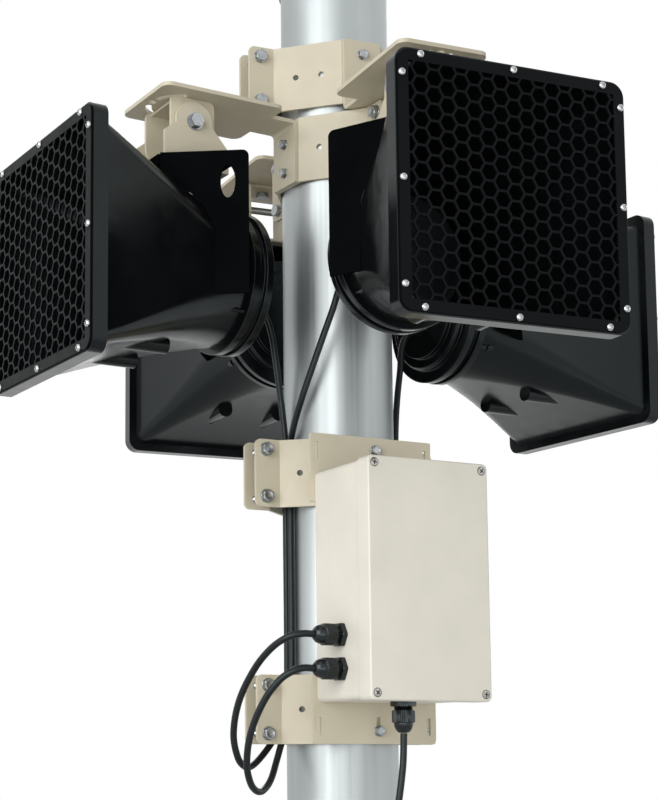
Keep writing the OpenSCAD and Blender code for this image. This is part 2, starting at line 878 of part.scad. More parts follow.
// Closes the pole flush with its lower end
module pole_foot() {
    color(bare_metal)
        cylinder(r = pole_r - pole_wall - clamp_fit, h = foot_t, $fn = 96);
}

// side is 1 where the plate's bolt is above the box and -1 where it is below
module box_plate(z, side) {
    color(tan_paint)
        difference() {
            translate([0, 0, z + clamp_h / 2])
                along_x(clamp_face, plate_t)
                    rounded_square(plate_w, clamp_h, ear_corner / 3);
            for (y = [-1, 1], k = [-1, 1])
                translate([0, y * (plate_w / 2 - plate_slot_in), z + clamp_h / 2 + k * clamp_h / 4])
                    along_x(clamp_face - overlap, plate_t + 2 * overlap)
                        rounded_square(plate_slot_w, plate_slot_h, plate_slot_w / 2 - overlap / 2);
            translate([0, plate_bolt_side, z + clamp_h / 2 + side * (plate_bolt_up + key_w / 2 - key_h / 2)])
                along_x(clamp_face - overlap, plate_t + 2 * overlap)
                    rounded_square(key_w, key_h, key_w / 2 - overlap / 2);
        }
}

module box_body() {
    color(tan_paint)
        translate([0, 0, box_z + box_h / 2])
            difference() {
                along_x(box_back, lid_back - box_back)
                    rounded_square(box_w - 2 * lid_lip, box_h - 2 * lid_lip, box_corner);
                along_x(box_back + box_wall, lid_back - box_back)
                    rounded_square(box_w - 2 * (lid_lip + box_wall), box_h - 2 * (lid_lip + box_wall), box_wall);
            }
}

module box_lid() {
    color(tan_paint)
        translate([0, 0, box_z + box_h / 2])
            difference() {
                along_x(lid_back, lid_d)
                    rounded_square(box_w, box_h, box_corner);
                along_x(lid_back - overlap, lid_d - box_wall + overlap)
                    rounded_square(box_w - 2 * (lid_lip + box_wall), box_h - 2 * (lid_lip + box_wall), box_wall);
            }
}

// A gland along +Z with its seat at z = 0
module gland() {
    nut_z = gland_base + gland_neck;
    dome_z = nut_z + gland_nut;
    cylinder(d = gland_flats / cos(30), h = gland_base, $fn = 6);
    cylinder(d = gland_neck_d, h = nut_z);
    translate([0, 0, nut_z])
        cylinder(d = gland_nut_d, h = gland_nut);
    translate([0, 0, dome_z])
        cylinder(d1 = gland_nut_d, d2 = gland_tip_d, h = gland_len - dome_z);
}

module box_glands() {
    color(rubber) {
        for (z = [gland_upper, gland_lower])
            translate([gland_r, lid_lip - box_w / 2, box_z + z])
                rotate([90, 0, 0])
                    gland();
        translate([bottom_gland_r, 0, box_z + lid_lip])
            mirror([0, 0, 1])
                gland();
    }
}

module turned(az) {
    rotate([0, 0, az])
        children();
}

pole();
pole_cap();
pole_foot();
cable_grommets();
turned(front_az) clamp_half(upper_clamp_z, horn_spares);  // upper_clamp_front
turned(back_az) clamp_half(upper_clamp_z, horn_spares);  // upper_clamp_back
turned(left_az) clamp_half(lower_clamp_z, horn_spares);  // lower_clamp_left
turned(right_az) clamp_half(lower_clamp_z, horn_spares);  // lower_clamp_right
turned(front_az) upper_arm();  // arm_front
turned(left_az) lower_arm();  // arm_left
turned(back_az) upper_arm();  // arm_back
turned(right_az) lower_arm();  // arm_right
turned(front_az) yoke(upper_tilt_z);  // yoke_front
turned(left_az) yoke(lower_tilt_z);  // yoke_left
turned(back_az) yoke(upper_tilt_z);  // yoke_back
turned(right_az) yoke(lower_tilt_z);  // yoke_right
turned(front_az) yoke_bolts(upper_tilt_z);  // yoke_bolts_front
turned(left_az) yoke_bolts(lower_tilt_z);  // yoke_bolts_left
turned(back_az) yoke_bolts(upper_tilt_z);  // yoke_bolts_back
turned(right_az) yoke_bolts(lower_tilt_z);  // yoke_bolts_right
turned(front_az) tilt_bracket(upper_tilt_z);  // tilt_bracket_front
turned(left_az) tilt_bracket(lower_tilt_z);  // tilt_bracket_left
turned(back_az) tilt_bracket(upper_tilt_z);  // tilt_bracket_back
turned(right_az) tilt_bracket(lower_tilt_z);  // tilt_bracket_right
turned(front_az) horn(upper_horn_z);  // horn_front
turned(left_az) horn(lower_horn_z);  // horn_left
turned(back_az) horn(upper_horn_z);  // horn_back
turned(right_az) horn(lower_horn_z);  // horn_right
turned(front_az) saddle(upper_horn_z);  // saddle_front
turned(left_az) saddle(lower_horn_z);  // saddle_left
turned(back_az) saddle(upper_horn_z);  // saddle_back
turned(right_az) saddle(lower_horn_z);  // saddle_right
turned(front_az) grille(upper_horn_z);  // grille_front
turned(left_az) grille(lower_horn_z);  // grille_left
turned(back_az) grille(upper_horn_z);  // grille_back
turned(right_az) grille(lower_horn_z);  // grille_right
turned(front_az) driver(upper_horn_z);  // driver_front
turned(left_az) driver(lower_horn_z);  // driver_left
turned(back_az) driver(upper_horn_z);  // driver_back
turned(right_az) driver(lower_horn_z);  // driver_right
turned(box_az) clamp_half(upper_box_clamp_z, box_spares);  // upper_box_clamp_front
turned(box_back_az) clamp_half(upper_box_clamp_z, box_spares);  // upper_box_clamp_back
turned(box_az) clamp_half(lower_box_clamp_z, box_spares);  // lower_box_clamp_front
turned(box_back_az) clamp_half(lower_box_clamp_z, box_spares);  // lower_box_clamp_back
turned(box_az) box_plate(upper_box_clamp_z, 1);  // upper_box_plate
turned(box_az) box_plate(lower_box_clamp_z, -1);  // lower_box_plate
turned(box_az) box_body();
turned(box_az) box_lid();
turned(box_az) box_glands();
cable(front_route);  // cable_front
cable(left_route);  // cable_left
cable(back_route);  // cable_back
cable(right_route);  // cable_right
cable(feed_route);  // cable_feed
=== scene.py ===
"""Looks of the pole-top horn loudspeaker array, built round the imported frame."""

import json
import math

import bpy
from mathutils import Matrix, Vector


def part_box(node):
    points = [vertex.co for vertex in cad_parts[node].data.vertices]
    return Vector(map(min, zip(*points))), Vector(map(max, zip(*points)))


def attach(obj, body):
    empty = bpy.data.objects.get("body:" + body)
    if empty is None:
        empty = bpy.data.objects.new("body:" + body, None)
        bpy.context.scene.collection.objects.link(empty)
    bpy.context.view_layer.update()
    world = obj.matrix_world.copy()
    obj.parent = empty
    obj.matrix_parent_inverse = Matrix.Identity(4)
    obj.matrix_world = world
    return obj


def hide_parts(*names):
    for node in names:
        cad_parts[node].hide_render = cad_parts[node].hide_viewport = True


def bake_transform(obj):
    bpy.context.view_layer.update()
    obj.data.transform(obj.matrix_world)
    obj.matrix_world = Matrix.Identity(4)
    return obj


MM = 0.001
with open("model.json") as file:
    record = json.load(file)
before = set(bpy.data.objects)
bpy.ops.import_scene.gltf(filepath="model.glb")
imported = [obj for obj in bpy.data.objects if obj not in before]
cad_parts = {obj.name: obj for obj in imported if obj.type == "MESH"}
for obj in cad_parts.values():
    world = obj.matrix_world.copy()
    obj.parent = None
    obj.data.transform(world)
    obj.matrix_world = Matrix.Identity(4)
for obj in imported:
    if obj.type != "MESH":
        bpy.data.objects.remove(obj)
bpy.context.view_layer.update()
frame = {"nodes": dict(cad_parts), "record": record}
nodes = frame["nodes"]


def low(node):
    """A node's lowest corner in mm."""
    return Vector(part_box(node)[0]) / MM


def high(node):
    """A node's highest corner in mm."""
    return Vector(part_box(node)[1]) / MM


# Sizes and places in mm: what the frame gives comes from it, the rest repeats the part's source

SIDES = {}
for joint in frame["record"]["behaviour"]["joints"]:
    side, motion = joint["name"].split("_")
    if motion == "tilt":
        x, y, z = joint["pos_m"]
        SIDES[side] = {"az": math.degrees(math.atan2(y, x)), "tilt_z": z / MM}
FRONT_AZ = SIDES["front"]["az"]
BOX_TURN = 4.0
BOX_AZ = FRONT_AZ + BOX_TURN
HORN_DROP = 224.0
CLAMP_H = high("upper_clamp_front").z - low("upper_clamp_front").z
CLAMPS = {
    "upper_clamp": {"az": FRONT_AZ, "z": low("upper_clamp_front").z},
    "lower_clamp": {"az": SIDES["left"]["az"], "z": low("lower_clamp_left").z},
    "upper_box_clamp": {"az": BOX_AZ, "z": low("upper_box_clamp_front").z},
    "lower_box_clamp": {"az": BOX_AZ, "z": low("lower_box_clamp_front").z},
}
EAR_FACE = 20.0
EAR_BOLT_Y = 138.0
EAR_BOLT_PITCH = 71.0
LEG_FACE = 95.35
LEG_BOLT_IN = 22.0
LEG_BOLT_PITCH = 46.0
PLATE_BOLT_UP = 32.0
PLATE_BOLT_SIDE = 6.0
BOX_BACK = 94.35
BOX_FRONT = 244.35
BOX_Z = low("box_lid").z
BOX_H = high("box_lid").z - BOX_Z
BOX_W = 200.0
BOX_LIP = 2.0
GLAND_R = 164.35
GLAND_HEIGHTS = (94.0, 46.0)
BOTTOM_GLAND_R = 169.35
GLAND_LEN = 45.0
MOUTH_FRONT = -low("grille_front").y
FLANGE_BACK = 483.0
THROAT_FRONT = -high("horn_front").y
THROAT_R = 98.0
BELL_HALF = 158.0
FLARE_POWER = 1.5
BELL_WALL = 4.0
DRIVER_REAR = -high("driver_front").y
CABLE_D = 10.0
CABLE_GAP = 0.2

# Upper leads from a driver down to the box clamp: how far out they are at the clamp, how far below the
# horn's axis they start, and for each point the share of the way out, the sideways place and the share
# of the way up
LEADS = {
    "front": (16, 20, [
        (1, -60, 1), (0.903, -60, 1), (0.79, -62, 0.96), (0.684, -66, 0.83), (0.571, -72, 0.686),
        (0.43, -81, 0.484), (0.283, -89, 0.283), (0.1, -91, 0.103),
    ]),
    "left": (90, 29, [
        (1, 0, 1), (0.8, 0, 1), (0.574, -1.4, 0.956), (0.407, -3, 0.833), (0.299, -5, 0.665),
        (0.189, -8, 0.458), (0.081, -10.2, 0.236),
    ]),
    "right": (89, 29, [
        (1, 0, 1), (0.804, 0, 1), (0.58, -1.4, 0.956), (0.413, -4, 0.833), (0.298, -11, 0.665),
        (0.119, -20.5, 0.433), (0.004, -26.6, 0.212),
    ]),
    "back": (15, 30, [
        (1, 0, 1), (0.896, 0, 1), (0.791, -6, 0.958), (0.693, -14, 0.836), (0.623, -30, 0.671),
        (0.497, -52, 0.46), (0.329, -72, 0.272), (0.161, -84, 0.131),
    ]),
}
# Points of the horn cables from the box clamp on, and of the whole cable under the box
ROUTES = {
    "front": [
        (-90, -16, 722), (-90, -15, 600), (-90, -15, 380),
        (-92, -15, 330), (-98, -16, 300), (-109, -17, 274), (-121, -25, 248), (-139, -43, 220),
        (-160, -62, 205), (-177, -77, 205), (-193, -92, 217), (-204, -105, 244), (-205, -122, 287),
        (-194, -145, 332), (-178, -163, 360), (-164, -172, 371),
        (-149.5, -175.2, 376), (-131.5, -173.95, 376),
    ],
    "left": [
        (-91, 0, 728), (-91, 0, 600), (-91, 0, 380),
        (-94, -1, 330), (-102, -2, 300), (-118, -4, 276), (-138, -11, 255), (-160, -26, 241),
        (-179, -42, 239), (-196, -55, 252), (-207, -65, 286), (-206, -83, 332),
        (-195, -112, 376), (-183, -143, 404), (-168, -166, 419),
        (-149.5, -175.2, 424), (-131.5, -173.95, 424),
    ],
    "right": [
        (90, -16, 728), (90, -15, 620), (91, -12, 580),
        (97, 0, 530), (106, 12, 485), (115, 24, 448), (118, 30, 425), (112, 30, 408),
        (100, 26.8, 401), (89.8, 24.06, 400), (77.3, 20.71, 400),
    ],
    "back": [
        (90, 15, 725), (90, 15, 600),
        (92, 28, 560), (92, 48, 525), (86, 70, 496), (78, 88, 474), (69.5, 98.5, 456),
        (62, 88.5, 443), (53.34, 76.18, 440), (45.89, 65.53, 440),
    ],
    "feed": [
        (12, -169, 286.5), (10, -169, 245), (5, -168, 205), (1, -165, 175), (0, -156, 145),
        (0, -138, 117), (0, -114, 98), (0, -94, 95), (0, -80, 95),
    ],
}
# For each horn's cable: the height where its two pieces meet, the heights between which the lower piece
# takes up the pan, and the distances from the pole's axis between which the upper piece takes up the tilt
GIVE = {
    "front": {"split": 880.0, "pan": (785.0, 878.0), "tilt": (102.5, 158.0)},
    "left": {"split": 792.0, "pan": (728.0, 790.0), "tilt": (98.5, 154.0)},
    "right": {"split": 812.0, "pan": (760.0, 810.0), "tilt": (97.0, 152.0)},
    "back": {"split": 850.0, "pan": (800.0, 849.0), "tilt": (98.5, 152.0)},
}


# Shapes


def turned(az):
    return Matrix.Rotation(math.radians(az), 4, "Z")


def at(az, x, y, z):
    """A place in the frame that is turned to az, in mm: x outward, y sideways, z up."""
    return turned(az) @ Matrix.Translation(Vector((x, y, z)) * MM)


OUTWARD = Matrix.Rotation(math.radians(90), 4, "Y")
INWARD = Matrix.Rotation(math.radians(-90), 4, "Y")
SIDEWAYS = Matrix.Rotation(math.radians(90), 4, "X")
OVER = Matrix.Rotation(math.radians(180), 4, "X")


class Form:
    """Collects faces of one piece; sizes are in mm until they are placed."""

    def __init__(self):
        self.verts = []
        self.faces = []

    def loft(self, rings, place):
        """Joins rings of equally many points and closes both ends."""
        base = len(self.verts)
        count = len(rings[0])
        for ring in rings:
            for p in ring:
                self.verts.append(place @ (Vector(p) * MM))
        for i in range(len(rings) - 1):
            for j in range(count):
                k = (j + 1) % count
                a = base + i * count
                b = a + count
                self.faces.append((a + j, a + k, b + k, b + j))
        self.faces.append(tuple(base + j for j in reversed(range(count))))
        last = base + (len(rings) - 1) * count
        self.faces.append(tuple(last + j for j in range(count)))

    def lathe(self, profile, place, count=32, outline=None):
        """Rings of radius and height about +Z; outline(angle, radius) can limit the radius."""
        rings = []
        for r, z in profile:
            ring = []
            for j in range(count):
                a = 2 * math.pi * j / count
                q = r if outline is None else outline(a, r)
                ring.append((q * math.cos(a), q * math.sin(a), z))
            rings.append(ring)
        self.loft(rings, place)

    def hexagon(self, flats, profile, place):
        """A hexagonal body; profile gives for each height the largest radius."""
        half = flats / 2

        def limit(a, r):
            off = (a % (math.pi / 3)) - math.pi / 6
            return min(r, half / math.cos(off))

        self.lathe(profile, place, 48, limit)

    def build(self, name, material, smooth_angle=35.0):
        mesh = bpy.data.meshes.new(name)
        mesh.from_pydata([tuple(v) for v in self.verts], [], self.faces)
        mesh.validate()
        mesh.update()
        mesh.materials.append(material)
        obj = bpy.data.objects.new(name, mesh)
        bpy.context.scene.collection.objects.link(obj)
        mesh.shade_smooth()
        mesh.set_sharp_from_angle(angle=math.radians(smooth_angle))
        return obj


# Materials


class Look:
    """Node builder for one material."""

    def __init__(self, name):
        self.material = bpy.data.materials.new(name)
        self.material.use_nodes = True
        self.tree = self.material.node_tree
        self.shader = self.tree.nodes["Principled BSDF"]
        self.coords = self.tree.nodes.new("ShaderNodeTexCoord")

    def socket(self, name, value):
        self.shader.inputs[name].default_value = value

    def link(self, a, b):
        self.tree.links.new(a, b)

    def mapped(self, scale):
        node = self.tree.nodes.new("ShaderNodeMapping")
        node.inputs["Scale"].default_value = scale
        self.link(self.coords.outputs["Object"], node.inputs["Vector"])
        return node.outputs["Vector"]

    def noise(self, scale, detail=3.0, stretch=(1, 1, 1)):
        node = self.tree.nodes.new("ShaderNodeTexNoise")
        node.inputs["Scale"].default_value = scale
        node.inputs["Detail"].default_value = detail
        self.link(self.mapped(stretch), node.inputs["Vector"])
        return node.outputs["Fac"]

    def ramp(self, source, stops):
        node = self.tree.nodes.new("ShaderNodeValToRGB")
        ramp = node.color_ramp
        while len(ramp.elements) < len(stops):
            ramp.elements.new(0.5)
        for element, (place, colour) in zip(ramp.elements, stops):
            element.position = place
            element.color = (*colour, 1)
        self.link(source, node.inputs["Fac"])
        return node.outputs["Color"]

    def spread(self, source, least, most):
        """Maps the middle of a noise's values to a range."""
        node = self.tree.nodes.new("ShaderNodeMapRange")
        node.inputs["From Min"].default_value = 0.3
        node.inputs["From Max"].default_value = 0.7
        node.inputs["To Min"].default_value = least
        node.inputs["To Max"].default_value = most
        self.link(source, node.inputs["Value"])
        return node.outputs["Result"]

    def bump(self, source, strength, distance):
        node = self.tree.nodes.new("ShaderNodeBump")
        node.inputs["Strength"].default_value = strength
        node.inputs["Distance"].default_value = distance
        self.link(source, node.inputs["Height"])
        self.link(node.outputs["Normal"], self.shader.inputs["Normal"])


def shaded(colour, share):
    return tuple(c * share for c in colour)


def powder_coat(name, colour):
    """Satin powder coat: fine orange peel, faint handling marks."""
    look = Look(name)
    cloud = look.noise(14.0, 4.0)
    stops = [(0.32, shaded(colour, 0.93)), (0.68, colour)]
    look.link(look.ramp(cloud, stops), look.shader.inputs["Base Color"])
    look.link(look.spread(look.noise(60.0), 0.38, 0.52), look.shader.inputs["Roughness"])
    look.bump(look.noise(900.0, 2.0), 0.12, 0.0004)
    return look.material


# Tint of the reflections in black mouldings
COOL = (0.84, 0.98, 1.0, 1.0)


def moulding(name, colour, rough_low, rough_high, gloss=0.5):
    """Black moulding or coat with slight unevenness and handling smears."""
    look = Look(name)
    look.socket("Specular IOR Level", gloss)
    look.socket("Specular Tint", COOL)
    cloud = look.noise(9.0, 4.0)
    stops = [(0.3, shaded(colour, 0.8)), (0.7, shaded(colour, 1.25))]
    look.link(look.ramp(cloud, stops), look.shader.inputs["Base Color"])
    look.link(look.spread(look.noise(35.0, 5.0), rough_low, rough_high), look.shader.inputs["Roughness"])
    look.bump(look.noise(420.0, 2.0), 0.06, 0.0004)
    return look.material


def drawn_tube(name):
    """Bare tube with long drawing marks and soft stains."""
    look = Look(name)
    look.socket("Metallic", 1.0)
    streak = look.noise(90.0, 3.0, (1, 1, 0.012))
    stain = look.noise(5.0, 5.0, (1, 1, 0.4))
    stops = [(0.3, (0.37, 0.4, 0.402)), (0.7, (0.48, 0.512, 0.514))]
    look.link(look.ramp(stain, stops), look.shader.inputs["Base Color"])
    look.link(look.spread(streak, 0.4, 0.54), look.shader.inputs["Roughness"])
    look.bump(streak, 0.08, 0.0006)
    return look.material


def plated(name, colour, rough_low, rough_high):
    """Plated or bright steel with fine marks."""
    look = Look(name)
    look.socket("Metallic", 1.0)
    fine = look.noise(400.0, 3.0)
    stops = [(0.3, shaded(colour, 0.75)), (0.7, colour)]
    look.link(look.ramp(fine, stops), look.shader.inputs["Base Color"])
    look.link(look.spread(look.noise(150.0), rough_low, rough_high), look.shader.inputs["Roughness"])
    look.bump(fine, 0.08, 0.0002)
    return look.material


TAN = (0.645, 0.59, 0.45)
BOX_TAN = (0.8, 0.77, 0.67)
BLACK = (0.0036, 0.0041, 0.0046)
tan_paint = powder_coat("tan_powder_coat", TAN)
box_paint = powder_coat("box_satin", BOX_TAN)
horn_black = moulding("horn_moulding", BLACK, 0.16, 0.26, 0.28)
saddle_black = moulding("saddle_coat", BLACK, 0.3, 0.4, 0.0)
grille_black = moulding("grille_coat", BLACK, 0.26, 0.4, 0.06)
nylon_black = moulding("gland_nylon", (0.006, 0.0065, 0.007), 0.2, 0.34, 0.5)
jacket_black = moulding("cable_jacket", (0.006, 0.0065, 0.007), 0.32, 0.46, 0.35)
rubber_black = moulding("grommet_rubber", (0.01, 0.01, 0.01), 0.55, 0.7, 0.3)
bare_tube = drawn_tube("bare_tube")
zinc = plated("zinc_plating", (0.4, 0.425, 0.435), 0.24, 0.4)
bright_steel = plated("bright_steel", (0.56, 0.575, 0.58), 0.16, 0.28)
box_steel = plated("box_screw_steel", (0.5, 0.49, 0.46), 0.3, 0.45)

# Material by the start of a node's name, the first that fits; all other nodes are tan
NODE_LOOKS = [
    ("pole", bare_tube), ("cable_grommets", rubber_black), ("yoke_bolts", zinc), ("horn_", horn_black),
    ("saddle_", saddle_black), ("grille_", grille_black), ("driver_", horn_black),
    ("box_glands", nylon_black), ("box_body", box_paint), ("box_lid", box_paint), ("cable_", jacket_black),
]
# Radius of the rounded edges in metres, by the start of a node's name
EDGE_ROUND = {
    "horn_": 0.0, "grille_": 0.0, "cable": 0.0, "pole": 0.0006, "box_lid": 0.0026, "box_body": 0.0016,
    "driver_": 0.0014,
}
PLAIN_EDGE = 0.0009
SHARP = math.radians(38)
FLAT = math.radians(0.6)


def round_edges(obj, width):
    """Joins a node's faces and rounds its sharp edges, or only creases them where width is 0."""
    weld = obj.modifiers.new("weld", "WELD")
    weld.merge_threshold = 0.00002
    if width > 0:
        flats = obj.modifiers.new("flats", "DECIMATE")
        flats.decimate_type = "DISSOLVE"
        flats.angle_limit = FLAT
        bevel = obj.modifiers.new("edges", "BEVEL")
        bevel.width = width
        bevel.segments = 2
        bevel.limit_method = "ANGLE"
        bevel.angle_limit = SHARP
        bevel.use_clamp_overlap = True
    else:
        split = obj.modifiers.new("creases", "EDGE_SPLIT")
        split.split_angle = SHARP
    normals = obj.modifiers.new("normals", "WEIGHTED_NORMAL")
    normals.weight = 80


for name, obj in nodes.items():
    look = next((m for start, m in NODE_LOOKS if name.startswith(start)), tan_paint)
    obj.data.materials.clear()
    obj.data.materials.append(look)
    own_normals = obj.data.attributes.get("custom_normal")
    if own_normals:
        obj.data.attributes.remove(own_normals)
    width = next((w for start, w in EDGE_ROUND.items() if name.startswith(start)), PLAIN_EDGE)
    round_edges(obj, width)


# Cables


def smooth_path(points, step=6.0):
    """A smooth line through the points in mm, which at each point runs along its two neighbours."""
    pts = [Vector(p) for p in points]
    pts = [2 * pts[0] - pts[1], *pts, 2 * pts[-1] - pts[-2]]
    line = []
    for i in range(1, len(pts) - 2):
        a, b, c, d = pts[i - 1 : i + 3]
        count = max(2, round((c - b).length / step))
        ta = (c - a).length
        tb = (d - b).length
        span = (c - b).length
        ma = (c - a) / max(ta, 1e-6) * span
        mb = (d - b) / max(tb, 1e-6) * span
        for k in range(count):
            t = k / count
            h1 = 2 * t**3 - 3 * t**2 + 1
            h2 = t**3 - 2 * t**2 + t
            h3 = -2 * t**3 + 3 * t**2
            h4 = t**3 - t**2
            line.append(b * h1 + ma * h2 + c * h3 + mb * h4)
    line.append(pts[-2])
    return line


def tube(form, line, diameter, count=14):
    """Rings along the line, carried without twisting."""
    side = None
    rings = []
    for i, p in enumerate(line):
        t = (line[min(i + 1, len(line) - 1)] - line[max(i - 1, 0)]).normalized()
        if side is None:
            side = t.cross(Vector((0, 0, 1)) if abs(t.z) < 0.9 else Vector((0, 1, 0))).normalized()
        side = (side - t * side.dot(t)).normalized()
        other = t.cross(side)
        ring = []
        for k in range(count):
            a = 2 * math.pi * k / count
            ring.append(p + (side * math.cos(a) + other * math.sin(a)) * diameter / 2)
        rings.append(ring)
    form.loft(rings, Matrix.Identity(4))


def cable_piece(name, line, node):
    """A cable along the line that stands for the node."""
    form = Form()
    tube(form, line, CABLE_D)
    obj = form.build(name, jacket_black, 60)
    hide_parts(node)
    return obj


def lead(side):
    """The upper part of a horn's cable, from the driver down to the box clamp."""
    start, drop, table = LEADS[side]
    foot = high("upper_box_clamp_front").z
    top = SIDES[side]["tilt_z"] - HORN_DROP - drop
    end = DRIVER_REAR - CABLE_GAP
    turn = turned(SIDES[side]["az"])
    points = []
    for out, sideways, up in table:
        points.append(turn @ Vector((start + out * (end - start), sideways, foot + up * (top - foot))))
    return points


for side, give in GIVE.items():
    line = smooth_path(lead(side) + ROUTES[side])
    split = next(i for i, p in enumerate(line) if p.z < give["split"])
    upper = cable_piece(f"cable_{side}_upper", line[: split + 1], f"cable_{side}")
    lower = cable_piece(f"cable_{side}_lower", line[split:], f"cable_{side}")
    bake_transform(upper)
    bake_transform(lower)
feed = cable_piece("cable_feed_line", smooth_path(ROUTES["feed"]), "cable_feed")
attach(feed, "mast")


# Fasteners

EDGE = 0.3
HEAD_CHAMFER = 1.1
HEAD_DISH = 0.35
# A thread's pitch as a share of the diameter, and its depth as a share of the pitch
THREAD_PITCH = 0.16
THREAD_DEPTH = 0.55


def hex_bolt(form, place, flats, height, washer, washer_t=2.0):
    """A washer and a chamfered hexagon head that stand on z = 0."""
    r = washer / 2
    disc = [(r - EDGE, 0), (r, EDGE), (r, washer_t - EDGE), (r - EDGE, washer_t), (flats * 0.3, washer_t)]
    form.lathe(disc, place, 32)
    corner = flats / 2 / math.cos(math.pi / 6)
    top = washer_t + height
    dish = top - HEAD_DISH
    head = [
        (flats * 0.48, washer_t), (corner, washer_t + EDGE), (corner, top - HEAD_CHAMFER),
        (flats * 0.515, dish), (flats * 0.47, top), (flats * 0.36, top), (flats * 0.33, dish),
        (flats * 0.05, dish),
    ]
    form.hexagon(flats, head, place)


def shank(form, place, diameter, length):
    """A threaded shank along +Z: fine ridges."""
    pitch = diameter * THREAD_PITCH
    root = diameter / 2 - pitch * THREAD_DEPTH
    profile = []
    z = 0.0
    while z < length - pitch:
        profile += [(root, z), (diameter / 2, z + pitch / 2)]
        z += pitch
    profile.append((root, length))
    form.lathe(profile, place, 20)


def button_screw(form, place, diameter, height):
    """A round-head screw with a round socket."""
    r = diameter / 2
    head = [
        (r * 0.97, 0), (r, height * 0.12), (r * 0.96, height * 0.38), (r * 0.84, height * 0.68),
        (r * 0.64, height * 0.9), (r * 0.5, height * 0.98), (r * 0.46, height), (r * 0.43, height * 0.95),
        (r * 0.42, height * 0.4), (r * 0.05, height * 0.3),
    ]
    form.lathe(head, place, 24)


SCREW_ALONG = (-136.5, 0.0, 136.5)
SCREW_OUT = 163.5
SCREW_D = 10.5
SCREW_H = 4.2
for side, horn in SIDES.items():
    az = horn["az"]
    horn_z = horn["tilt_z"] - HORN_DROP
    screws = Form()
    for along in SCREW_ALONG:
        for y, z in ((along, SCREW_OUT), (along, -SCREW_OUT), (SCREW_OUT, along), (-SCREW_OUT, along)):
            button_screw(screws, at(az, MOUTH_FRONT, y, horn_z + z) @ OUTWARD, SCREW_D, SCREW_H)
    obj = screws.build(f"grille_screws_{side}", bright_steel)
    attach(obj, f"{side}_horn")

EAR_BOLT_D = 10.0
EAR_BOLT_FLATS = 17.0
EAR_WASHER = 21.0
HEAD_H = 6.6
NUT_H = 8.4
END_FROM = 10.0
END_LEN = 6.0
for name, clamp in CLAMPS.items():
    bolts = Form()
    az = clamp["az"]
    for y in (-EAR_BOLT_Y, EAR_BOLT_Y):
        for k in (-0.5, 0.5):
            z = clamp["z"] + CLAMP_H / 2 + k * EAR_BOLT_PITCH
            hex_bolt(bolts, at(az, EAR_FACE, y, z) @ OUTWARD, EAR_BOLT_FLATS, HEAD_H, EAR_WASHER)
            hex_bolt(bolts, at(az, -EAR_FACE, y, z) @ INWARD, EAR_BOLT_FLATS, NUT_H, EAR_WASHER)
            shank(bolts, at(az, -EAR_FACE, y, z) @ OUTWARD, EAR_BOLT_D, 2 * EAR_FACE)
            shank(bolts, at(az, -EAR_FACE - END_FROM, y, z) @ INWARD, EAR_BOLT_D, END_LEN)
    obj = bolts.build(f"{name}_bolts", zinc)
    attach(obj, "mast")

# Width over flats, head height, washer and its thickness
SMALL_BOLT = (13.0, 5.4, 17.0, 1.6)
legs = Form()
for side, horn in SIDES.items():
    hangs = side in ("left", "right")
    tip = low(f"arm_{side}").z if hangs else high(f"arm_{side}").z
    inward = 1 if hangs else -1
    for k in (0, 1):
        z = tip + inward * (LEG_BOLT_IN + k * LEG_BOLT_PITCH)
        hex_bolt(legs, at(horn["az"], LEG_FACE, 0, z) @ OUTWARD, *SMALL_BOLT)
for clamp, up in (("upper_box_clamp", 1), ("lower_box_clamp", -1)):
    z = CLAMPS[clamp]["z"] + CLAMP_H / 2 + up * PLATE_BOLT_UP
    hex_bolt(legs, at(BOX_AZ, BOX_BACK, PLATE_BOLT_SIDE, z) @ OUTWARD, *SMALL_BOLT)
obj = legs.build("leg_and_plate_bolts", zinc)
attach(obj, "mast")


# Small forms of the horn mouldings: a boss starts and steps by shares of the bell's length, a rail is
# given as radius and height

BOSS_Y = 50.0
BOSS_R = 13.0
BOSS_FROM = 0.43
BOSS_STEP = 0.02
BOSS_PROUD = 0.35
BOSS_SIDES = 24
RAIL_ANGLES = (-38.0, 218.0)
RAIL_OFF = 0.5
RAIL = [(3.6, 0), (4.2, 0.8), (4.2, 14), (6.4, 14.2), (6.4, 26), (4.2, 26.2), (4.2, 70)]


def bell_half(u):
    """Half of the bell's outside width at a share u of its length."""
    return THROAT_R + (BELL_HALF - THROAT_R) * u**FLARE_POWER


def bell_x(u):
    """The outward place at a share u of the bell's length."""
    return THROAT_FRONT + (FLANGE_BACK - THROAT_FRONT) * u


def boss(form, place, y, r, first):
    """A round boss along the horn's axis that runs into the bell's underside."""
    sunk = BELL_WALL / 2
    axis = bell_half(first) + r * BOSS_PROUD
    rings = []
    u = first
    while bell_half(u) - sunk < axis + r and u < 1:
        ring = []
        for k in range(BOSS_SIDES):
            a = 2 * math.pi * k / BOSS_SIDES
            depth = max(axis + r * math.sin(a), bell_half(u) - sunk)
            ring.append((bell_x(u), y + r * math.cos(a), -depth))
        rings.append(ring)
        u += BOSS_STEP
    form.loft(rings, place)


for side, horn in SIDES.items():
    place = at(horn["az"], 0, 0, horn["tilt_z"] - HORN_DROP)
    forms = Form()
    for y in (-BOSS_Y, BOSS_Y):
        boss(forms, place, y, BOSS_R, BOSS_FROM)
    for angle in RAIL_ANGLES:
        a = math.radians(angle)
        r = THROAT_R + RAIL_OFF
        start = Vector((THROAT_FRONT + RAIL_OFF, r * math.cos(a), r * math.sin(a)))
        forms.lathe(RAIL, place @ Matrix.Translation(start * MM) @ OUTWARD, 20)
    obj = forms.build(f"bell_bosses_{side}", horn_black)
    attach(obj, f"{side}_horn")


# Junction box: lid screws and cable glands


